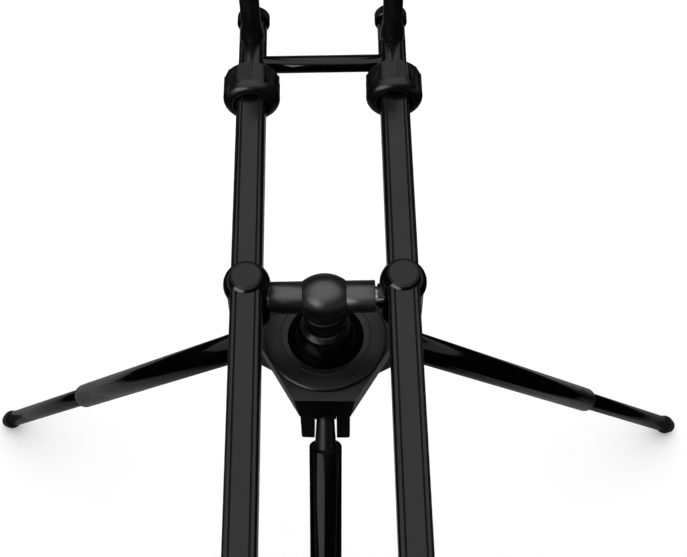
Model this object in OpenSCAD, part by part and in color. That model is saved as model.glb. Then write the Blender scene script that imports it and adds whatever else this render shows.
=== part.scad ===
// Music stand with two telescopic rails, a ball hub and three telescopic legs.
// Units are millimetres. +X is the stand's right, +Y is away from its near end, +Z is up.
// The origin is on the floor, under the middle of the space that the stand takes up.

/* [Stance] */
// Angle between each leg and the vertical, in degrees
leg_spread = 36; // [34:0.5:38]
// How far the three legs are turned on the vertical, in degrees
leg_turn = 1.6; // [0:0.1:3]
// Height of the hub's top above the floor
hub_height = 688.4; // [680:0.1:720]
// Distance from the origin to the hub's axis along Y
hub_offset = 122; // [110:1:140]

/* [Hub] */
// Radius of the turned disc on top
disc_r = 50.5; // [48:0.5:54]
// Thickness of the disc
disc_t = 3; // [2:0.5:5]
// Radius of the groove in the disc
disc_groove_r = 37; // [34.5:0.5:44]
// Depth of the block under the disc
block_h = 27.5; // [26:0.5:34]
// Draft of the block's three long sides, in degrees
block_draft = 6.5; // [0:0.5:9]
// Distance from the hub's axis to each corner face
corner_r = 58.6; // [57:0.1:61]
// Radius of the ball
ball_r = 30.6; // [30:0.1:31]
// Depth of the ball's centre under the disc's top
ball_drop = 8; // [7:0.5:9]

/* [Leg joints] */
// Gap between the two lugs of a pair
lug_gap = 18.6; // [18.4:0.1:20]
// Thickness of one lug
lug_t = 11; // [9:0.1:11.2]
// Length of the lugs below the block
lug_h = 40.5; // [38:0.5:41]
// Distance from the hub's axis to each leg pivot
pivot_r = 48.1; // [47:0.1:49]
// Depth of the leg pivots under the disc's top
pivot_drop = 38.8; // [38.8:0.1:40]
// Radius of the pivot pins
pin_r = 4; // [3:0.5:5]

/* [Legs] */
// Radius of the outer leg tube
leg_r = 13.6; // [12.8:0.1:15]
// Wall of the leg tubes
leg_wall = 1.4; // [1.1:0.1:1.8]
// Distance from the pivot to the lower end of the outer tube
leg_outer_end = 486; // [440:1:520]
// Radius of the inner leg tube
leg_inner_r = 10; // [8:0.1:10.5]
// Distance from the pivot to the end of the inner tube
leg_inner_end = 777; // [760:1:800]
// Length of the inner tube that stays inside the outer one
leg_overlap = 150; // [120:5:170]

/* [Tee] */
// Height of the axle above the disc's top
axle_h = 60.5; // [58:0.5:64]
// Radius of the barrel-shaped tee at its middle
tee_r = 18.8; // [18:0.1:20]
// Width of the tee between its flat sides
tee_w = 34; // [32:0.2:36]
// Radius of the curve along the tee's barrel
tee_curve = 27.7; // [26:0.1:34]
// Radius of the two sleeves beside the tee
sleeve_r = 12.8; // [11:0.1:14]
// Radius of the axle
axle_r = 8; // [6:0.5:9]

/* [Rails] */
// Distance between the two rails' centre lines
rail_spacing = 120.6; // [115:0.1:124]
// Distance of the rails' middle to the right of the hub's axis
rail_shift = 0.8; // [0:0.1:1]
// Height of the rails' centre lines above the disc's top
rail_h = 80.5; // [79:0.5:82]
// Width of a rail
rail_w = 24.2; // [24:0.1:25]
// Depth of a rail
rail_d = 22; // [21:0.5:23]
// Wall of a rail
rail_wall = 1.5; // [1.2:0.1:1.8]
// Near end of the rails, measured from the hub's axis
rail_near = -300; // [-340:5:-250]
// Far end of the rails, measured from the hub's axis
rail_far = 190; // [180:1:200]
// Radius of the ball-shaped clamps
clamp_r = 18.4; // [18.2:0.1:20]
// Radius of the post under each clamp
post_r = 16.5; // [15:0.1:17]
// Distance from a clamp's centre to the foot of its post
post_drop = 46; // [36:1:48]

/* [Collars] */
// Radius of a collar over its ribs
collar_r = 24; // [23.5:0.1:27]
// Number of flats round a collar
collar_flats = 14; // [8:1:20]
// Near end of the collars, measured from the hub's axis
collar_near = 178.5; // [170:0.5:180]
// Far end of the collars, measured from the hub's axis
collar_far = 206.5; // [205:0.5:208]

/* [Far end] */
// Radius of the sliding tubes
inner_r = 8.5; // [7:0.1:8.7]
// Radius of the round heads
head_r = 12; // [11.5:0.1:13]
// Far end of the heads, measured from the hub's axis
head_far = 266.5; // [262:0.5:272]
// Radius of the bar between the heads
bar_r = 7.5; // [6:0.5:8]
// Distance from the hub's axis to the bar
bar_y = 223.5; // [218:0.5:226]
// Radius of the upright arms
arm_r = 8.4; // [8:0.1:10]
// Height of the arms above the heads' centre lines
arm_h = 115; // [80:1:140]
// Distance from the hub's axis to the arms
arm_y = 246.5; // [244:0.5:250]
// Radius of the end knobs
knob_r = 14.2; // [13:0.1:17]

/* [Hidden] */
$fn = 96;
tiny = 0.01; // how far a cut runs past the face it opens
fit_gap = 0.05; // radial clearance of parts that turn or slide in each other
free_gap = 0.3; // clearance of curved faces that don't touch
side_r = disc_r; // distance from the hub's axis to the block's long sides, at the top
side_spare = 1; // what the draft cuts off the long sides at the top
corner_half = (2 * (side_r + side_spare) - corner_r) * tan(30); // half a corner face's width before the draft
seat_r = 34; // bore of the hub that holds the disc's skirt, the cup and the ring nut
seat_h = 10; // depth of the disc's skirt
ball_cut = 10; // how far the ball reaches below its centre
stem_r = 8; // radius of the neck's stem inside the ball
stem_h = 16; // length of that stem
nut_h = 4; // depth of the ring nut
lug_in = 38; // distance from the hub's axis to the lugs' inner faces
lug_inset = 0.5; // the lugs' outer faces stand this far behind the corner face
lug_round = 3; // rounding of the lugs' lower outer corners, seen along the leg
lug_end_r = 32.6; // the lugs' lower ends are round about the pivot with this radius
eye_r = 8; // radius of a leg's eye
cone_start = 6; // the cone's ends and the tube's top, along the leg from its pivot
tube_top = 34;
cone_end = 35;
cone_r = 9; // the cone's radius where it enters the tube
plug_end = 70; // lower end of the plug in the leg tube
bush_h = 34; // height of the bush above the outer tube's end
bush_lip = 4; // height of the bush's rounded lip
foot_ring_t = 3.5; // thickness of the ring on the foot
pad_ribs = 3; // ribs on a rubber foot
pad_pitch = 4; // distance from one rib to the next
pad_r = 9.4; // radius of a rubber foot
pad_tip = leg_inner_end + foot_ring_t + pad_ribs * pad_pitch; // centre of its round tip
flange_bottom = 15.3; // the bevelled ring, above the disc's top
flange_top = 23.8;
flange_r = 20.4;
flange_bevel = 4.1;
neck_step = 36; // where the ringed part of the neck ends, above the disc's top
skirt_bottom = 45; // foot of the tee's skirt, above the disc's top
skirt_r = 16.6;
sleeve_gap = 1.8; // gap between the right sleeve and its clamp's collar
clamp_collar_w = 3; // width of the right clamp's collar beside its post
clamp_flat = 13.8; // height of a clamp's flat top above its centre
cap_r = 11.8; // radius of the flat caps
cap_t = 2; // thickness of the flat caps
rail_round = 3; // rounding of a rail's corners
groove_x = 7.3; // distance from a rail's centre line to its grooves
groove_w = 1;
groove_d = 0.6;
nose_r = 18.5; // radius of a rail's threaded nose
nose_h = 13; // length of the nose beyond the rail
inner_near = -105; // near end of the sliding tubes
knob_gap = 0.4; // gap between a head and the knob's neck
knob_near = head_far + 3.5; // near face of the knob's disc
knob_far = knob_near + 10;
socket_r = 6; // radius of the arm's spigot in its head
tube_wall = 1.4; // wall of the sliding tubes and the arms
LEGS = ["front", "left", "right"];

// ---------------------------------------------------------------- placing

// Direction of a leg, in degrees clockwise from +Y seen from above.
function azimuth(leg) = (leg == "front" ? 180 : leg == "left" ? -60 : 60) + leg_turn;

// Everything above the legs is drawn with its origin at the middle of the disc's top.
module on_hub() {
    translate([0, hub_offset, hub_height])
        children();
}

// Turns +Y to point along a leg, seen from above.
module toward(leg) {
    rotate([0, 0, -azimuth(leg)])
        children();
}

// +Z runs down the leg from its pivot.
module along_leg(leg) {
    on_hub()
        toward(leg)
            translate([0, pivot_r, -pivot_drop])
                rotate([180 + leg_spread, 0, 0])
                    children();
}

// Distance of a rail's centre line from the hub's axis along X; side is -1 or 1.
function rail_x(side) = side * rail_spacing / 2 + rail_shift;

// +Z runs along a rail's centre line, away from the near end.
module along_rail(side, y) {
    on_hub()
        translate([rail_x(side), y, rail_h])
            rotate([-90, 0, 0])
                children();
}

// A bar along X, centred on the origin.
module cross_rod(r, length) {
    rotate([0, 90, 0])
        cylinder(h = length, r = r, center = true);
}

// A tube along +Z from the origin.
module tube(r, bore, length) {
    difference() {
        cylinder(h = length, r = r);
        translate([0, 0, -tiny])
            cylinder(h = length + 2 * tiny, r = bore);
    }
}

// A disc along +Z from the origin, with both edges chamfered.
module chamfered_disc(r, h, edge) {
    cylinder(h = edge, r1 = r - edge, r2 = r);
    translate([0, 0, edge])
        cylinder(h = h - 2 * edge, r = r);
    translate([0, 0, h - edge])
        cylinder(h = edge, r1 = r, r2 = r - edge);
}

// ---------------------------------------------------------------- hub

// Outline of the block: a triangle with its corners cut off.
module block_outline() {
    polygon([
        for (leg = LEGS)
            for (side = [-1, 1])
                let (a = azimuth(leg))
                    [
                        corner_r * sin(a) + side * corner_half * cos(a),
                        corner_r * cos(a) - side * corner_half * sin(a),
                    ]
    ]);
}

// Cuts one long side of the block back towards its foot.
module draft_cut() {
    translate([-corner_r * 2, side_r, -disc_t])
        rotate([-block_draft, 0, 0])
            translate([0, 0, -block_h * 2])
                cube([corner_r * 4, side_r, block_h * 3]);
}

module block() {
    difference() {
        translate([0, 0, -disc_t - block_h])
            linear_extrude(height = block_h)
                block_outline();
        for (leg = LEGS)
            toward(leg)
                rotate([0, 0, 180])
                    draft_cut();
    }
}

// Side view of one lug, seen along the leg's own direction; x runs outward from the middle.
module lug_profile() {
    top = -disc_t - block_h + 1;
    bottom = -disc_t - block_h - lug_h;
    outer = lug_gap / 2 + lug_t;
    translate([lug_gap / 2, bottom + lug_round])
        square([lug_t, top - bottom - lug_round]);
    translate([lug_gap / 2, bottom])
        square([lug_t - lug_round, lug_round]);
    translate([outer - lug_round, bottom + lug_round])
        circle(r = lug_round);
}

module lug() {
    translate([0, corner_r - lug_inset, 0])
        rotate([90, 0, 0])
            linear_extrude(height = corner_r - lug_inset - lug_in)
                lug_profile();
}

module lug_pair() {
    width = 2 * (lug_gap + lug_t);
    difference() {
        union() {
            lug();
            mirror([1, 0, 0])
                lug();
        }
        translate([0, pivot_r, -pivot_drop])
            cross_rod(pin_r, width);
        translate([0, pivot_r, -pivot_drop])
            difference() {
                translate([-width / 2, -2 * lug_end_r, -2 * lug_end_r])
                    cube([width, 4 * lug_end_r, lug_end_r]);
                cross_rod(lug_end_r, 2 * width);
            }
    }
}

module hub_body() {
    color("#1b1b1d")
        on_hub()
            difference() {
                union() {
                    block();
                    for (leg = LEGS)
                        toward(leg)
                            lug_pair();
                }
                translate([0, 0, -disc_t - block_h - tiny])
                    cylinder(h = block_h + 2 * tiny, r = seat_r);
            }
}

module hub_disc() {
    edge = 1.6;
    opening = ball_r - 0.4;
    color("#222224")
        on_hub()
            difference() {
                union() {
                    translate([0, 0, -edge])
                        cylinder(h = edge, r1 = disc_r, r2 = disc_r - edge);
                    translate([0, 0, -disc_t])
                        cylinder(h = disc_t - edge, r = disc_r);
                    translate([0, 0, -seat_h])
                        cylinder(h = seat_h, r = seat_r);
                }
                translate([0, 0, -ball_drop])
                    sphere(r = ball_r + free_gap);
                translate([0, 0, -ball_drop])
                    cylinder(h = ball_drop + tiny, r = opening);
                translate([0, 0, -ball_drop - seat_h])
                    cylinder(h = seat_h, r = ball_r + free_gap);
                translate([0, 0, -1.2])
                    cylinder(h = 1.2 + tiny, r1 = opening, r2 = opening + 1.2);
                translate([0, 0, -1])
                    tube(disc_groove_r + 0.7, disc_groove_r - 0.7, 1 + tiny);
            }
}

module ball_seat() {
    bottom = -disc_t - block_h + nut_h;
    color("#3a3a3c")
        on_hub()
            difference() {
                translate([0, 0, bottom])
                    cylinder(h = -seat_h - bottom, r = seat_r);
                translate([0, 0, -ball_drop])
                    sphere(r = ball_r + free_gap);
            }
}

module seat_nut() {
    color("#2a2a2c")
        on_hub()
            translate([0, 0, -disc_t - block_h])
                difference() {
                    cylinder(h = nut_h, r = seat_r);
                    translate([0, 0, -tiny])
                        cylinder(h = nut_h + 2 * tiny, r = 16);
                    for (turn = [0 : 90 : 270])
                        rotate([0, 0, turn])
                            translate([25, 0, -tiny])
                                cylinder(h = 2.5, r = 2);
                }
}

module leg_pins() {
    color("#77787a")
        on_hub()
            for (leg = LEGS)
                toward(leg)
                    translate([0, pivot_r, -pivot_drop])
                        cross_rod(pin_r, lug_gap + 2 * lug_t);
}

module swivel_ball() {
    color("#101012")
        on_hub()
            difference() {
                intersection() {
                    translate([0, 0, -ball_drop])
                        sphere(r = ball_r);
                    translate([-ball_r, -ball_r, -ball_drop - ball_cut])
                        cube([2 * ball_r, 2 * ball_r, ball_cut + ball_drop + flange_bottom]);
                }
                translate([0, 0, flange_bottom - stem_h])
                    cylinder(h = stem_h + tiny, r = stem_r + fit_gap);
            }
}

// ---------------------------------------------------------------- tee

module neck() {
    rings = 3;
    pitch = (neck_step - flange_top) / rings;
    color("#19191b")
        on_hub() {
            translate([0, 0, flange_bottom - stem_h + 1])
                cylinder(h = flange_top - flange_bottom + stem_h, r = stem_r);
            translate([0, 0, flange_top])
                cylinder(h = neck_step - flange_top, r = 14.4);
            for (i = [0 : rings - 1])
                translate([0, 0, flange_top + pitch * (i + 0.4)])
                    cylinder(h = pitch * 0.5, r = 15.4);
            translate([0, 0, neck_step])
                chamfered_disc(18, skirt_bottom - neck_step, 0.8);
        }
}

module neck_flange() {
    color("#2b2b2d")
        on_hub()
            difference() {
                union() {
                    translate([0, 0, flange_bottom])
                        cylinder(h = flange_top - flange_bottom - flange_bevel, r = flange_r);
                    translate([0, 0, flange_top - flange_bevel])
                        cylinder(h = flange_bevel, r1 = flange_r, r2 = flange_r - flange_bevel);
                }
                translate([0, 0, flange_bottom - tiny])
                    cylinder(h = flange_top, r = stem_r);
            }
}

// A barrel along X: widest in the middle, with flat sides.
module barrel() {
    rotate([0, 90, 0])
        rotate_extrude()
            intersection() {
                translate([tee_r - tee_curve, 0])
                    circle(r = tee_curve);
                translate([0, -tee_w / 2])
                    square([2 * tee_r, tee_w]);
            }
}

module tee_ball() {
    color("#232325")
        on_hub()
            difference() {
                union() {
                    translate([0, 0, axle_h])
                        barrel();
                    translate([0, 0, skirt_bottom])
                        cylinder(h = axle_h - skirt_bottom, r = skirt_r);
                }
                translate([0, 0, axle_h])
                    cross_rod(axle_r + fit_gap, 2 * tee_w);
                translate([-tee_w, -tee_w, 0])
                    cube([2 * tee_w, 2 * tee_w, skirt_bottom]);
            }
}

// A sleeve beside the tee, from the tee's flat side to x = outer.
module sleeve(outer) {
    on_hub()
        translate([tee_w / 2, 0, axle_h])
            rotate([0, 90, 0])
                tube(sleeve_r, axle_r + fit_gap, outer - tee_w / 2);
}

module tee_sleeve_left() {
    color("#222224")
        mirror([1, 0, 0])
            sleeve(-rail_x(-1) - post_r - free_gap);
}

module tee_sleeve_right() {
    color("#222224")
        sleeve(rail_x(1) - post_r - clamp_collar_w - sleeve_gap);
}

// ---------------------------------------------------------------- clamps

module axle() {
    color("#8a8b8d")
        on_hub()
            translate([rail_shift, 0, axle_h])
                cross_rod(axle_r, rail_spacing + 16);
}

// Section of a rail, or of the space round it when grow is above zero.
module rail_section(grow = 0) {
    w = rail_w + 2 * grow;
    d = rail_d + 2 * grow;
    round = rail_round + grow;
    rounded_box(w, d, round);
}

module rounded_box(w, d, round) {
    square([w - 2 * round, d], center = true);
    square([w, d - 2 * round], center = true);
    for (x = [-1, 1])
        for (y = [-1, 1])
            translate([x * (w / 2 - round), y * (d / 2 - round)])
                circle(r = round);
}

// A ball on a round post, with the rail's channel and the axle's bore; it stands at the origin.
module clamp_shape() {
    foot_round = 5;
    difference() {
        union() {
            intersection() {
                sphere(r = clamp_r);
                translate([-clamp_r, -clamp_r, -clamp_r])
                    cube([2 * clamp_r, 2 * clamp_r, clamp_r + clamp_flat]);
            }
            rotate_extrude() {
                translate([0, -post_drop])
                    square([post_r - foot_round, post_drop]);
                translate([0, -post_drop + foot_round])
                    square([post_r, post_drop - foot_round]);
                intersection() {
                    translate([post_r - foot_round, -post_drop + foot_round])
                        circle(r = foot_round);
                    translate([0, -post_drop])
                        square([post_r, post_drop]);
                }
            }
        }
        rotate([90, 0, 0])
            linear_extrude(height = 4 * clamp_r, center = true)
                rail_section(fit_gap);
        translate([0, 0, axle_h - rail_h])
            cross_rod(axle_r, 16);
        translate([0, 0, clamp_flat - cap_t])
            cylinder(h = cap_t + tiny, r = cap_r + 0.1);
    }
}

module clamp_left() {
    color("#161618")
        on_hub()
            translate([rail_x(-1), 0, rail_h])
                difference() {
                    clamp_shape();
                    translate([clamp_r / 2, 0, axle_h - rail_h])
                        cross_rod(axle_r, clamp_r);
                    translate([post_r + 0.1, 0, axle_h - rail_h])
                        rotate([0, 90, 0])
                            cylinder(h = clamp_r, r = sleeve_r + free_gap);
                }
}

module clamp_right() {
    color("#161618")
        on_hub()
            translate([rail_x(1), 0, rail_h])
                difference() {
                    union() {
                        clamp_shape();
                        translate([-post_r - clamp_collar_w, 0, axle_h - rail_h])
                            rotate([0, 90, 0])
                                cylinder(h = clamp_collar_w + 3.8, r = 10);
                    }
                    translate([-clamp_r / 2 - clamp_collar_w, 0, axle_h - rail_h])
                        cross_rod(axle_r, clamp_r + 2 * clamp_collar_w);
                }
}

module clamp_caps() {
    color("#2c2c2e")
        on_hub()
            for (side = [-1, 1])
                translate([rail_x(side), 0, rail_h + clamp_flat - cap_t]) {
                    cylinder(h = cap_t - 0.4, r = cap_r);
                    translate([0, 0, cap_t - 0.4])
                        cylinder(h = 0.8, r1 = cap_r, r2 = cap_r - 0.8);
                }
}

// ---------------------------------------------------------------- rails

module rail(side) {
    color("#2d2d2f")
        along_rail(side, rail_near)
            linear_extrude(height = rail_far - rail_near)
                difference() {
                    rail_section();
                    rounded_box(rail_w - 2 * rail_wall, rail_d - 2 * rail_wall, rail_round - rail_wall);
                    for (x = [-groove_x, groove_x])
                        for (face = [-1, 1])
                            translate([x, face * rail_d / 2])
                                square([groove_w, 2 * groove_d], center = true);
                }
}

module rail_left() {
    rail(-1);
}

module rail_right() {
    rail(1);
}

module rail_noses() {
    plug = 18;
    color("#1c1c1e")
        for (side = [-1, 1])
            along_rail(side, rail_far)
                difference() {
                    union() {
                        cylinder(h = nose_h, r = nose_r);
                        translate([0, 0, -plug])
                            linear_extrude(height = plug + 1)
                                rounded_box(rail_w - 2 * rail_wall, rail_d - 2 * rail_wall, rail_round - rail_wall);
                    }
                    translate([0, 0, -plug - tiny])
                        cylinder(h = plug + nose_h + 1, r = inner_r + fit_gap);
                }
}

module rail_end_caps() {
    plug = 14;
    color("#141416")
        for (side = [-1, 1])
            along_rail(side, rail_near) {
                translate([0, 0, -3])
                    linear_extrude(height = 3)
                        rail_section();
                linear_extrude(height = plug)
                    rounded_box(rail_w - 2 * rail_wall, rail_d - 2 * rail_wall, rail_round - rail_wall);
            }
}

// A collar: flats and ribs round it, a rounded near end, and a bore that steps over the nose.
module collar(side) {
    length = collar_far - collar_near;
    round = 8;
    flat_h = length - round;
    flat_w = 2 * PI * collar_r / collar_flats - 2.4;
    nose_start = rail_far - collar_near;
    nose_end = nose_start + nose_h;
    color("#151517")
        along_rail(side, collar_near)
            difference() {
                rotate_extrude() {
                    square([collar_r - round, length]);
                    translate([0, round])
                        square([collar_r, flat_h - 1]);
                    translate([0, length - 1.01])
                        square([collar_r - 1, 1.01]);
                    intersection() {
                        translate([collar_r - round, round])
                            circle(r = round);
                        square([collar_r, length / 2]);
                    }
                }
                for (i = [0 : collar_flats - 1])
                    rotate([0, 0, (i + 0.5) * 360 / collar_flats])
                        translate([-flat_w / 2, collar_r - 1, round])
                            cube([flat_w, 4, flat_h + tiny]);
                translate([0, 0, -tiny])
                    cylinder(h = nose_start, r = 16);
                translate([0, 0, nose_start - free_gap])
                    cylinder(h = nose_end - nose_start + 2 * free_gap, r = nose_r + fit_gap);
                cylinder(h = length + 1, r = inner_r + free_gap);
            }
}

module collar_left() {
    collar(-1);
}

module collar_right() {
    collar(1);
}

// ---------------------------------------------------------------- far end

module inner_tube(side) {
    color("#3a3a3c")
        along_rail(side, inner_near)
            tube(inner_r, inner_r - tube_wall, bar_y + 6 - inner_near);
}

module inner_tube_left() {
    inner_tube(-1);
}

module inner_tube_right() {
    inner_tube(1);
}

module head(side) {
    near = collar_far + 0.5;
    color("#1d1d1f")
        difference() {
            along_rail(side, near)
                difference() {
                    cylinder(h = head_far - near, r = head_r);
                    translate([0, 0, -tiny])
                        cylinder(h = bar_y + 6 - near + tiny, r = inner_r);
                    translate([0, 0, arm_y - near])
                        cylinder(h = head_far, r = 5 + fit_gap);
                }
            arm_spigot(side, head_r * 2);
        }
}

// The space, or the pin, that stands upright in a head's middle.
module arm_spigot(side, length) {
    on_hub()
        translate([rail_x(side), arm_y, rail_h - 5])
            cylinder(h = length, r = socket_r);
}

module head_left() {
    head(-1);
}

module head_right() {
    head(1);
}

module crossbar() {
    color("#1a1a1c")
        difference() {
            on_hub()
                translate([rail_shift, bar_y, rail_h])
                    cross_rod(bar_r, rail_spacing - head_r);
            for (side = [-1, 1])
                along_rail(side, bar_y - 2 * bar_r)
                    cylinder(h = 4 * bar_r, r = head_r);
        }
}

// An upright tube whose foot flares out over its head.
module arm(side) {
    flare_top = head_r + 16;
    flare = 2;
    color("#1b1b1d")
        union() {
            difference() {
                on_hub()
                    translate([rail_x(side), arm_y, rail_h]) {
                        cylinder(h = arm_h, r = arm_r);
                        cylinder(h = head_r + 2, r = arm_r + flare);
                        translate([0, 0, head_r + 2])
                            cylinder(h = flare_top - head_r - 2, r1 = arm_r + flare, r2 = arm_r);
                    }
                along_rail(side, collar_far)
                    cylinder(h = 2 * (arm_y - collar_far), r = head_r);
                on_hub()
                    translate([rail_x(side), arm_y, rail_h + flare_top])
                        cylinder(h = arm_h, r = arm_r - tube_wall);
            }
            arm_spigot(side, head_r + 8);
        }
}

module arm_left() {
    arm(-1);
}

module arm_right() {
    arm(1);
}

module arm_plugs() {
    color("#111113")
        on_hub()
            for (side = [-1, 1])
                translate([rail_x(side), arm_y, rail_h + arm_h - 8]) {
                    cylinder(h = 8, r = arm_r - tube_wall);
                    translate([0, 0, 8])
                        cylinder(h = 1.2, r1 = arm_r - tube_wall, r2 = arm_r - tube_wall - 1.2);
                }
}

module knob(side) {
    neck_start = head_far + knob_gap;
    screw_start = arm_y + socket_r + 1;
    color("#161618") {
        along_rail(side, knob_near)
            chamfered_disc(knob_r, knob_far - knob_near, 1);
        along_rail(side, neck_start)
            cylinder(h = knob_near - neck_start + 1, r = 9.5);
        along_rail(side, screw_start)
            cylinder(h = knob_near - screw_start, r = 5);
    }
}

module knob_left() {
    knob(-1);
}

module knob_right() {
    knob(1);
}

// ---------------------------------------------------------------- legs

module leg_knuckle(leg) {
    color("#202022")
        along_leg(leg)
            difference() {
                union() {
                    cross_rod(eye_r, lug_gap - 0.6);
                    translate([0, 0, cone_start - 4])
                        cylinder(h = cone_end - cone_start + 4, r1 = 7.1, r2 = cone_r);
                    translate([0, 0, cone_end])
                        cylinder(h = plug_end - cone_end, r = leg_r - leg_wall);
                }
                cross_rod(pin_r + fit_gap, 2 * lug_gap);
            }
}

module leg_tube(leg) {
    color("#0f0f11")
        along_leg(leg)
            translate([0, 0, tube_top])
                tube(leg_r, leg_r - leg_wall, leg_outer_end - tube_top);
}

module leg_bush(leg) {
    bore = leg_inner_r + fit_gap;
    color("#141416")
        along_leg(leg)
            translate([0, 0, leg_outer_end])
                difference() {
                    union() {
                        translate([0, 0, -bush_h])
                            cylinder(h = bush_h, r = leg_r - leg_wall);
                        rotate_extrude() {
                            square([leg_r - bush_lip, bush_lip]);
                            intersection() {
                                translate([leg_r - bush_lip, 0])
                                    circle(r = bush_lip);
                                square([leg_r, bush_lip]);
                            }
                        }
                    }
                    translate([0, 0, -bush_h - tiny])
                        cylinder(h = bush_h + bush_lip + 1, r = bore);
                }
}

module leg_inner(leg) {
    start = leg_outer_end - leg_overlap;
    color("#1c1c1e")
        along_leg(leg)
            translate([0, 0, start])
                tube(leg_inner_r, leg_inner_r - leg_wall, leg_inner_end - start);
}

module foot_ring(leg) {
    plug = 18;
    color("#0d0d0f")
        along_leg(leg)
            translate([0, 0, leg_inner_end]) {
                chamfered_disc(leg_inner_r + 1.9, foot_ring_t, 0.6);
                translate([0, 0, -plug])
                    cylinder(h = plug + 1, r = leg_inner_r - leg_wall);
            }
}

module foot_pad(leg) {
    start = leg_inner_end + foot_ring_t;
    color("#0a0a0b")
        intersection() {
            along_leg(leg) {
                translate([0, 0, start])
                    cylinder(h = pad_tip - start, r = pad_r - 1);
                for (i = [0 : pad_ribs - 1])
                    translate([0, 0, start + pad_pitch * (i + 0.3)])
                        cylinder(h = pad_pitch * 0.6, r = pad_r);
                translate([0, 0, pad_tip])
                    sphere(r = pad_r);
            }
            translate([-1000, -1000, 0])
                cube([2000, 2000, 200]);
        }
}

// ---------------------------------------------------------------- drawing

hub_body();
hub_disc();
ball_seat();
seat_nut();
leg_pins();
swivel_ball();
neck();
neck_flange();
tee_ball();
tee_sleeve_left();
tee_sleeve_right();
axle();
clamp_left();
clamp_right();
clamp_caps();
rail_left();
rail_right();
rail_noses();
rail_end_caps();
collar_left();
collar_right();
inner_tube_left();
inner_tube_right();
head_left();
head_right();
crossbar();
arm_left();
arm_right();
arm_plugs();
knob_left();
knob_right();
leg_knuckle("front");  // leg_knuckle_front
leg_knuckle("left");  // leg_knuckle_left
leg_knuckle("right");  // leg_knuckle_right
leg_tube("front");  // leg_tube_front
leg_tube("left");  // leg_tube_left
leg_tube("right");  // leg_tube_right
leg_bush("front");  // leg_bush_front
leg_bush("left");  // leg_bush_left
leg_bush("right");  // leg_bush_right
leg_inner("front");  // leg_inner_front
leg_inner("left");  // leg_inner_left
leg_inner("right");  // leg_inner_right
foot_ring("front");  // foot_ring_front
foot_ring("left");  // foot_ring_left
foot_ring("right");  // foot_ring_right
foot_pad("front");  // foot_pad_front
foot_pad("left");  // foot_pad_left
foot_pad("right");  // foot_pad_right
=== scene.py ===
"""Finish, floor, light and camera for a tripod stand with twin rails and two tall arms."""

import math

import bpy
from mathutils import Matrix, Vector


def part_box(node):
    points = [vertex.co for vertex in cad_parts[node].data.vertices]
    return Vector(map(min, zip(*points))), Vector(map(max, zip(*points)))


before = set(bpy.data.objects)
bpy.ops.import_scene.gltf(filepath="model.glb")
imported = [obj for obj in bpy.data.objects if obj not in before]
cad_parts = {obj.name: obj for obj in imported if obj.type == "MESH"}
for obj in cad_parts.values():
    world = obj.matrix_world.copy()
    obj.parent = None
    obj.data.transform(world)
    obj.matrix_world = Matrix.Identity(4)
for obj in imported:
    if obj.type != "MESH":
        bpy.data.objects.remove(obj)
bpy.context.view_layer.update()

MM = 0.001
WHITE = (1, 1, 1, 1)
LEG_NAMES = ("front", "left", "right")
SIDES = ("left", "right")

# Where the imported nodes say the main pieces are, in metres
disc_low, disc_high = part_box("hub_disc")
rail_boxes = [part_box(name) for name in ("rail_left", "rail_right")]
rail_centres = [(low.x + high.x) / 2 for low, high in rail_boxes]
RAILS_MIDDLE = sum(rail_centres) / 2
RAIL_FROM_MIDDLE = (rail_centres[1] - rail_centres[0]) / 2
HUB_TOP = Vector(((disc_low.x + disc_high.x) / 2, (disc_low.y + disc_high.y) / 2, disc_high.z))


# ---------------------------------------------------------------- shader building blocks

# The middle part of a noise's values, which is stretched over the whole range of a mask
NOISE_MIDDLE = (0.35, 0.65)

# Worn edges: how far round an edge the wear reaches, how much the surface has turned there, and
# the size and lowest strength of the patches that break it up
WEAR_WIDTH = 0.7 * MM
WEAR_TURN = (0.99, 0.90)
WEAR_PATCHES_PER_METRE = 160
WEAR_PATCH_RANGE = (0.42, 0.62)
WEAR_LEAST = 0.15

# Mottling of the colour and of the gloss
CLOUDS_PER_METRE = 45
SMEARS_PER_METRE = 70
SMEAR_RANGE = (0.3, 0.7)
SMEAR_DISTORTION = 0.6


def new_material(name, roughness, specular=0.5):
    """An empty principled material; returns it with its node tree and shader."""
    material = bpy.data.materials.new(name)
    material.use_nodes = True
    tree = material.node_tree
    shader = tree.nodes["Principled BSDF"]
    shader.inputs["Roughness"].default_value = roughness
    shader.inputs["Specular IOR Level"].default_value = specular
    return material, tree, shader


def surface_position(tree, stretch=(1, 1, 1), centre=(0, 0, 0)):
    """The point on the piece in metres, measured from centre and scaled along each axis."""
    coordinates = tree.nodes.new("ShaderNodeTexCoord")
    mapping = tree.nodes.new("ShaderNodeMapping")
    mapping.inputs["Location"].default_value = [-c * s for c, s in zip(centre, stretch)]
    mapping.inputs["Scale"].default_value = stretch
    tree.links.new(coordinates.outputs["Object"], mapping.inputs["Vector"])
    return mapping.outputs["Vector"]


def noise(tree, position, scale, detail=3.0, distortion=0.0):
    """A 3-D noise value around 0.5, with scale in features per metre."""
    node = tree.nodes.new("ShaderNodeTexNoise")
    node.inputs["Scale"].default_value = scale
    node.inputs["Detail"].default_value = detail
    node.inputs["Distortion"].default_value = distortion
    tree.links.new(position, node.inputs["Vector"])
    return node.outputs["Fac"]


def remap(tree, value, low, high, new_low, new_high):
    """value moved from the range low..high to new_low..new_high, and clamped."""
    node = tree.nodes.new("ShaderNodeMapRange")
    node.inputs["From Min"].default_value = low
    node.inputs["From Max"].default_value = high
    node.inputs["To Min"].default_value = new_low
    node.inputs["To Max"].default_value = new_high
    tree.links.new(value, node.inputs["Value"])
    return node.outputs["Result"]


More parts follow.
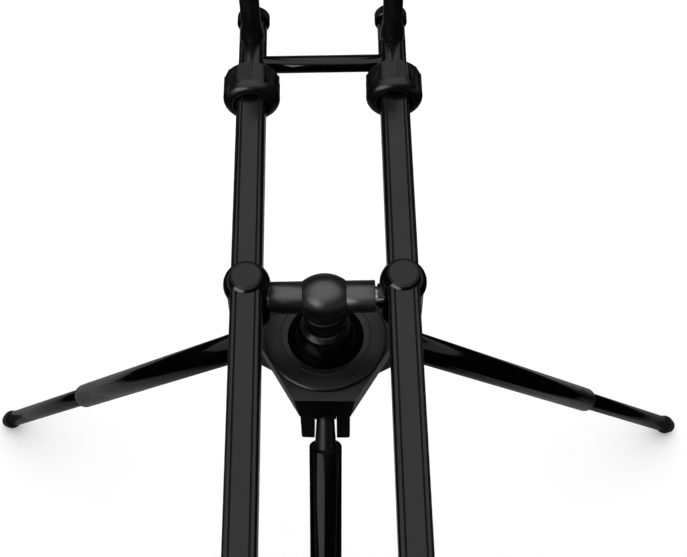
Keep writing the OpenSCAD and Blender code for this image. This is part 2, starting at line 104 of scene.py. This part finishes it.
def combine(tree, operation, first, second):
    """A math node over two sockets, or a socket and a number."""
    node = tree.nodes.new("ShaderNodeMath")
    node.operation = operation
    for socket, value in zip(node.inputs, (first, second)):
        if isinstance(value, (int, float)):
            socket.default_value = value
        else:
            tree.links.new(value, socket)
    return node.outputs["Value"]


def blend_colours(tree, factor, colour, other):
    """A colour between two, where either may be a socket or three numbers."""
    node = tree.nodes.new("ShaderNodeMix")
    node.data_type = "RGBA"
    tree.links.new(factor, node.inputs["Factor"])
    for name, value in (("A", colour), ("B", other)):
        socket = next(s for s in node.inputs if s.name == name and s.type == "RGBA")
        if isinstance(value, tuple):
            socket.default_value = (*value, 1.0)
        else:
            tree.links.new(value, socket)
    return next(s for s in node.outputs if s.type == "RGBA")


def worn_edges(tree, width):
    """A mask that is 1 on edges turned within width, broken up so that wear isn't even."""
    rounded = tree.nodes.new("ShaderNodeBevel")
    rounded.samples = 4
    rounded.inputs["Radius"].default_value = width
    flat = tree.nodes.new("ShaderNodeNewGeometry")
    facing = tree.nodes.new("ShaderNodeVectorMath")
    facing.operation = "DOT_PRODUCT"
    tree.links.new(rounded.outputs["Normal"], facing.inputs[0])
    tree.links.new(flat.outputs["Normal"], facing.inputs[1])
    edge = remap(tree, facing.outputs["Value"], *WEAR_TURN, 0.0, 1.0)
    blotches = noise(tree, surface_position(tree), WEAR_PATCHES_PER_METRE, 4)
    patches = remap(tree, blotches, *WEAR_PATCH_RANGE, WEAR_LEAST, 1.0)
    return combine(tree, "MULTIPLY", edge, patches)


def add_relief(tree, shader, layers):
    """Stacks bumps on the shader; each layer is a height socket and its depth in metres."""
    below = None
    for height, depth in layers:
        bump = tree.nodes.new("ShaderNodeBump")
        bump.inputs["Strength"].default_value = 1.0
        bump.inputs["Distance"].default_value = depth
        tree.links.new(height, bump.inputs["Height"])
        if below is not None:
            tree.links.new(below, bump.inputs["Normal"])
        below = bump.outputs["Normal"]
    tree.links.new(below, shader.inputs["Normal"])


def black_finish(
    name, dark, light, shine, gloss, gloss_spread, grain, grain_depth, wear, pattern=None, grooves=None
):
    """A black surface: mottled colour, uneven gloss, a fine grain, and rubbed edges.

    dark and light are the ends of the colour range, shine is the specular level, gloss is the
    mean roughness, grain is in features per metre, wear is the lightness of a rubbed edge,
    pattern adds one more relief, and grooves is a mask where the surface is sunk and grimy.
    """
    material, tree, shader = new_material(name, gloss, shine)
    position = surface_position(tree)
    clouds = remap(tree, noise(tree, position, CLOUDS_PER_METRE, 4), *NOISE_MIDDLE, 0.0, 1.0)
    colour = blend_colours(tree, clouds, (dark,) * 3, (light,) * 3)
    if wear > light:
        colour = blend_colours(tree, worn_edges(tree, WEAR_WIDTH), colour, (wear,) * 3)
    tree.links.new(colour, shader.inputs["Base Color"])
    smears = noise(tree, position, SMEARS_PER_METRE, 5, SMEAR_DISTORTION)
    uneven = remap(tree, smears, *SMEAR_RANGE, gloss - gloss_spread, gloss + gloss_spread)
    layers = [(noise(tree, position, grain, 2), grain_depth)]
    if pattern:
        layers.append(pattern(tree))
    if grooves:
        sunk = grooves(tree)
        uneven = combine(tree, "MAXIMUM", uneven, remap(tree, sunk, 0.0, 1.0, 0.0, GRIME_ROUGHNESS))
        layers.append((remap(tree, sunk, 0.0, 1.0, 1.0, 0.0), GROOVE_DEPTH))
    tree.links.new(uneven, shader.inputs["Roughness"])
    add_relief(tree, shader, layers)
    return material


# ---------------------------------------------------------------- relief patterns

# Each pattern's features per metre and its depth
STREAKS = (2600, 0.02 * MM)
STREAK_STRETCH = (1, 0.012, 1)
RINGS = (2400, 0.015 * MM)
CASTING = (420, 0.10 * MM)
MOULDING = (1500, 0.03 * MM)

# A rail's grooves: distance from the rail's middle, depth, half widths at the floor and at the
# brim, and the roughness of the grime in them
GROOVE_FROM_RAIL = 7.3 * MM
GROOVE_DEPTH = 0.8 * MM
GROOVE_FLOOR = 0.35 * MM
GROOVE_BRIM = 0.7 * MM
GRIME_ROUGHNESS = 0.9


def drawn_streaks(tree):
    """Fine lengthwise lines that extruding leaves along the rails."""
    scale, depth = STREAKS
    return noise(tree, surface_position(tree, stretch=STREAK_STRETCH), scale, 3), depth


def rail_grooves(tree):
    """A mask that is 1 in the two grooves along the top of each rail."""
    parts = tree.nodes.new("ShaderNodeSeparateXYZ")
    tree.links.new(surface_position(tree, centre=(RAILS_MIDDLE, 0, 0)), parts.inputs["Vector"])
    distance = combine(tree, "ABSOLUTE", parts.outputs["X"], 0.0)
    for step in (RAIL_FROM_MIDDLE, GROOVE_FROM_RAIL):
        distance = combine(tree, "ABSOLUTE", combine(tree, "SUBTRACT", distance, step), 0.0)
    return remap(tree, distance, GROOVE_BRIM, GROOVE_FLOOR, 0.0, 1.0)


def turned_rings(tree):
    """Fine rings round the hub's vertical axis, as a lathe leaves them."""
    scale, depth = RINGS
    position = surface_position(tree, stretch=(1, 1, 0), centre=HUB_TOP)
    length = tree.nodes.new("ShaderNodeVectorMath")
    length.operation = "LENGTH"
    tree.links.new(position, length.inputs[0])
    rings = tree.nodes.new("ShaderNodeTexNoise")
    rings.noise_dimensions = "1D"
    rings.inputs["Scale"].default_value = scale
    rings.inputs["Detail"].default_value = 2
    tree.links.new(length.outputs["Value"], rings.inputs["W"])
    return rings.outputs["Fac"], depth


def cast_texture(tree):
    """The soft unevenness of a die casting under paint."""
    scale, depth = CASTING
    return noise(tree, surface_position(tree), scale, 3), depth


def moulded_texture(tree):
    """The fine spark texture of a plastic moulding."""
    scale, depth = MOULDING
    return noise(tree, surface_position(tree), scale, 2), depth


# ---------------------------------------------------------------- materials


def make_materials():
    """One finish for each kind of surface on the stand, with what differs from kind to kind, and two
    copies made darker as painted shade.
    """
    return {
        "cast": black_finish(
            "cast_satin", dark=0.002, light=0.005, shine=0.28, gloss=0.35, gloss_spread=0.05,
            grain=2400, grain_depth=0.010 * MM, wear=0.03, pattern=cast_texture,
        ),
        "clamp": black_finish(
            "clamp_satin", dark=0.001, light=0.003, shine=0.30, gloss=0.16, gloss_spread=0.04,
            grain=2400, grain_depth=0.005 * MM, wear=0.02,
        ),
        "turned": black_finish(
            "turned_satin", dark=0.002, light=0.004, shine=0.24, gloss=0.30, gloss_spread=0.04,
            grain=3000, grain_depth=0.006 * MM, wear=0.03, pattern=turned_rings,
        ),
        "tee": black_finish(
            "tee_satin", dark=0.003, light=0.005, shine=0.78, gloss=0.36, gloss_spread=0.05,
            grain=2800, grain_depth=0.008 * MM, wear=0.03,
        ),
        "rail": black_finish(
            "rail_satin", dark=0.002, light=0.004, shine=0.24, gloss=0.16, gloss_spread=0.04,
            grain=3200, grain_depth=0.004 * MM, wear=0.01, pattern=drawn_streaks,
            grooves=rail_grooves,
        ),
        "gloss": black_finish(
            "tube_gloss", dark=0.001, light=0.002, shine=0.25, gloss=0.09, gloss_spread=0.03,
            grain=900, grain_depth=0.004 * MM, wear=0.02,
        ),
        # Painted shade: the gloss tube finish with its specular level cut, kept for the front leg's tubes
        # so the low softbox's highlight on them stays dim.
        "gloss_painted_shade": black_finish(
            "tube_gloss_painted_shade", dark=0.001, light=0.002, shine=0.08, gloss=0.12, gloss_spread=0.03,
            grain=900, grain_depth=0.004 * MM, wear=0.02,
        ),
        "arm": black_finish(
            "arm_satin", dark=0.003, light=0.005, shine=0.60, gloss=0.30, gloss_spread=0.04,
            grain=900, grain_depth=0.004 * MM, wear=0.02,
        ),
        "polished": black_finish(
            "ball_gloss", dark=0.001, light=0.002, shine=0.02, gloss=0.22, gloss_spread=0.03,
            grain=700, grain_depth=0.003 * MM, wear=0.0,
        ),
        # Painted shade: the turned finish made darker and duller, kept for the seat and its nut round the
        # swivel ball.
        "seat": black_finish(
            "seat_turned_painted_shade", dark=0.001, light=0.003, shine=0.15, gloss=0.30, gloss_spread=0.04,
            grain=3000, grain_depth=0.006 * MM, wear=0.01, pattern=turned_rings,
        ),
        "plastic": black_finish(
            "plastic_black", dark=0.002, light=0.004, shine=0.28, gloss=0.22, gloss_spread=0.05,
            grain=2600, grain_depth=0.005 * MM, wear=0.02, pattern=moulded_texture,
        ),
        "collar": black_finish(
            "collar_black", dark=0.002, light=0.005, shine=0.32, gloss=0.30, gloss_spread=0.05,
            grain=2600, grain_depth=0.005 * MM, wear=0.02, pattern=moulded_texture,
        ),
        "rubber": black_finish(
            "rubber_black", dark=0.006, light=0.012, shine=0.25, gloss=0.60, gloss_spread=0.08,
            grain=3200, grain_depth=0.030 * MM, wear=0.02,
        ),
        "steel": make_steel(),
    }


def make_steel():
    """Ground steel for the pins and the axle."""
    dark, light = 0.30, 0.42
    smooth, rough = 0.24, 0.40
    clouds_per_metre, smears_per_metre, grain = 90, 300, 3000
    material, tree, shader = new_material("pin_steel", smooth)
    shader.inputs["Metallic"].default_value = 1.0
    position = surface_position(tree)
    clouds = remap(tree, noise(tree, position, clouds_per_metre, 4), *NOISE_MIDDLE, 0.0, 1.0)
    tree.links.new(blend_colours(tree, clouds, (dark,) * 3, (light,) * 3), shader.inputs["Base Color"])
    uneven = remap(tree, noise(tree, position, smears_per_metre, 4), *SMEAR_RANGE, smooth, rough)
    tree.links.new(uneven, shader.inputs["Roughness"])
    add_relief(tree, shader, [(noise(tree, position, grain, 2), 0.008 * MM)])
    return material


FINISHES = {
    "cast": ["hub_body"] + [f"leg_knuckle_{n}" for n in LEG_NAMES],
    "clamp": ["clamp_left", "clamp_right"],
    "tee": ["tee_ball", "tee_sleeve_left", "tee_sleeve_right"],
    "turned": ["hub_disc", "neck", "neck_flange", "clamp_caps"],
    "seat": ["ball_seat", "seat_nut"],
    # The seat and its nut take the darker copy of the turned finish, as painted shade.
    "rail": ["rail_left", "rail_right"],
    "arm": ["arm_left", "arm_right"],
    "gloss": ["crossbar", "inner_tube_left", "inner_tube_right"]
    + [f"{part}_{leg}" for leg in ("left", "right") for part in ("leg_tube", "leg_inner")],
    # The front leg's tubes take the duller copy of the gloss finish, as painted shade.
    "gloss_painted_shade": ["leg_tube_front", "leg_inner_front"],
    "polished": ["swivel_ball"],
    "plastic": ["rail_noses", "rail_end_caps", "arm_plugs"]
    + [f"{part}_{side}" for side in SIDES for part in ("head", "knob")]
    + [f"leg_bush_{leg}" for leg in LEG_NAMES],
    "collar": ["collar_left", "collar_right"],
    "rubber": [f"{part}_{leg}" for leg in LEG_NAMES for part in ("foot_ring", "foot_pad")],
    "steel": ["leg_pins", "axle"],
}

# Edge rounding in millimetres where it isn't the common value, and what counts as one edge
EDGE_ROUNDING = {"hub_body": 1.0, "rail_left": 0.35, "rail_right": 0.35, "clamp_caps": 0.5}
COMMON_ROUNDING = 0.4
SHARP_EDGE = math.radians(32)
JOIN_DISTANCE = 0.002 * MM


def finish_nodes(materials):
    """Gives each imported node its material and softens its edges."""
    for kind, names in FINISHES.items():
        for name in names:
            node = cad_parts[name]
            node.data.materials.clear()
            node.data.materials.append(materials[kind])
            round_edges(node, EDGE_ROUNDING.get(name, COMMON_ROUNDING) * MM)


def round_edges(node, width):
    """Joins the node's split vertices and rounds its sharp edges, so that they catch light."""
    weld = node.modifiers.new("join", "WELD")
    weld.merge_threshold = JOIN_DISTANCE
    bevel = node.modifiers.new("round", "BEVEL")
    bevel.width = width
    bevel.segments = 2
    bevel.limit_method = "ANGLE"
    bevel.angle_limit = SHARP_EDGE
    bevel.harden_normals = True


# ---------------------------------------------------------------- floor, light and camera

# The room's light overhead and low down, the heights of view between which it changes, and the
# brightness that the camera sees behind the stand
OVERHEAD_LIGHT = 1.75
LOW_LIGHT = 0.02
LIGHT_EDGE = (0.52, 0.76)
BACKDROP_LIGHT = 1.0

# The floor's size, its two pale tones, its patches per metre and a lift that keeps it evenly pale
FLOOR_RADIUS = 60
FLOOR_TONES = (0.97, 0.99)
FLOOR_PATCHES_PER_METRE = 3
FLOOR_LIFT = 0.08

# How much of the light the floor throws back at the stand: a little from the patch behind it,
# more from far out at the sides, and next to none from the rest, as if black cards lay there
BOUNCE_BEHIND = 0.20
BOUNCE_SIDES = 0.50

# Where the patch begins and ends and where the cards end, each as a soft edge in metres
PATCH_FRONT = (-0.15, 0.02)
PATCH_LEFT = (-0.66, -0.58)
PATCH_RIGHT = (0.50, 0.42)
CARDS_END = (3.0, 3.4)


def floor_bounce(tree):
    """The floor's tone for light on its way back to the stand, by place."""
    parts = tree.nodes.new("ShaderNodeSeparateXYZ")
    tree.links.new(surface_position(tree), parts.inputs["Vector"])
    across, along = parts.outputs["X"], parts.outputs["Y"]
    behind = remap(tree, along, *PATCH_FRONT, 0.0, BOUNCE_BEHIND)
    for limits in (PATCH_LEFT, PATCH_RIGHT):
        behind = combine(tree, "MULTIPLY", behind, remap(tree, across, *limits, 0.0, 1.0))
    sides = remap(tree, combine(tree, "ABSOLUTE", across, 0.0), *CARDS_END, 0.0, BOUNCE_SIDES)
    return combine(tree, "ADD", behind, sides)


def make_floor():
    """A plain pale floor, wide enough for every view, that throws little light back at the stand."""
    bpy.ops.mesh.primitive_circle_add(vertices=128, radius=FLOOR_RADIUS, fill_type="NGON")
    floor = bpy.context.object
    floor.name = "floor"
    material, tree, shader = new_material("floor_pale", 0.9, 0.0)
    clouds = noise(tree, surface_position(tree), FLOOR_PATCHES_PER_METRE, 3)
    tone = remap(tree, clouds, *SMEAR_RANGE, 0.0, 1.0)
    pale = blend_colours(tree, tone, *((grey,) * 3 for grey in FLOOR_TONES))
    path = tree.nodes.new("ShaderNodeLightPath")
    colour = blend_colours(tree, path.outputs["Is Camera Ray"], floor_bounce(tree), pale)
    tree.links.new(colour, shader.inputs["Base Color"])
    lift = combine(tree, "MULTIPLY", path.outputs["Is Camera Ray"], FLOOR_LIFT)
    shader.inputs["Emission Color"].default_value = WHITE
    tree.links.new(lift, shader.inputs["Emission Strength"])
    floor.data.materials.append(material)


def make_softbox(name, target, azimuth, elevation, distance, size, power):
    """A softbox that faces target and only makes highlights; azimuth runs clockwise from +Y."""
    light = bpy.data.lights.new(name, "AREA")
    light.shape = "RECTANGLE"
    light.size, light.size_y = size
    light.energy = power
    lamp = bpy.data.objects.new(name, light)
    bpy.context.scene.collection.objects.link(lamp)
    turn, lift = math.radians(azimuth), math.radians(elevation)
    away = Vector((math.sin(turn) * math.cos(lift), math.cos(turn) * math.cos(lift), math.sin(lift)))
    lamp.location = target + away * distance
    lamp.rotation_euler = away.to_track_quat("Z", "Y").to_euler()
    lamp.visible_camera = False
    lamp.visible_diffuse = False


def make_room():
    """A pale room: bright overhead, dim low down, and plain where the camera sees it."""
    world = bpy.data.worlds.new("room")
    world.use_nodes = True
    tree = world.node_tree
    background = tree.nodes["Background"]
    background.inputs["Color"].default_value = WHITE
    direction = tree.nodes.new("ShaderNodeTexCoord")
    parts = tree.nodes.new("ShaderNodeSeparateXYZ")
    tree.links.new(direction.outputs["Generated"], parts.inputs["Vector"])
    light = remap(tree, parts.outputs["Z"], *LIGHT_EDGE, LOW_LIGHT, OVERHEAD_LIGHT)
    path = tree.nodes.new("ShaderNodeLightPath")
    seen = tree.nodes.new("ShaderNodeMix")
    seen.inputs["B"].default_value = BACKDROP_LIGHT
    tree.links.new(path.outputs["Is Camera Ray"], seen.inputs["Factor"])
    tree.links.new(light, seen.inputs["A"])
    tree.links.new(seen.outputs["Result"], background.inputs["Strength"])
    bpy.context.scene.world = world


def make_lights():
    """A softbox low in front at the left for the round pieces' highlights."""
    make_softbox(
        "low_box", HUB_TOP, azimuth=-140, elevation=20, distance=2.6, size=(2.2, 1.2), power=50
    )


# The camera's place from the hub's top, its lens, and how it is turned
CAMERA_FROM_HUB = Vector((10.7, -552.9, 956.05)) * MM
CAMERA_SENSOR = 36
CAMERA_LENS = 70.32
CAMERA_CLIP = (0.02, 100)
CAMERA_DOWN = math.radians(57.531)
CAMERA_TURN = math.radians(0.454)
CAMERA_ROLL = math.radians(-0.587)


def make_camera():
    """The camera above and in front of the stand, looking down its rails."""
    data = bpy.data.cameras.new("camera")
    data.sensor_width = CAMERA_SENSOR
    data.lens = CAMERA_LENS
    data.clip_start, data.clip_end = CAMERA_CLIP
    camera = bpy.data.objects.new("camera", data)
    bpy.context.scene.collection.objects.link(camera)
    flat = math.cos(CAMERA_DOWN)
    forward = Vector((math.sin(CAMERA_TURN) * flat, math.cos(CAMERA_TURN) * flat, -math.sin(CAMERA_DOWN)))
    level = Vector((math.cos(CAMERA_TURN), -math.sin(CAMERA_TURN), 0))
    upright = level.cross(forward)
    right = level * math.cos(CAMERA_ROLL) + upright * math.sin(CAMERA_ROLL)
    up = upright * math.cos(CAMERA_ROLL) - level * math.sin(CAMERA_ROLL)
    camera.matrix_world = Matrix.Translation(HUB_TOP + CAMERA_FROM_HUB) @ (
        Matrix((right, up, -forward)).transposed().to_4x4()
    )
    bpy.context.scene.camera = camera


# ---------------------------------------------------------------- the scene

make_camera()
finish_nodes(make_materials())
make_floor()
make_room()
make_lights()
bpy.context.scene.view_settings.view_transform = "Standard"
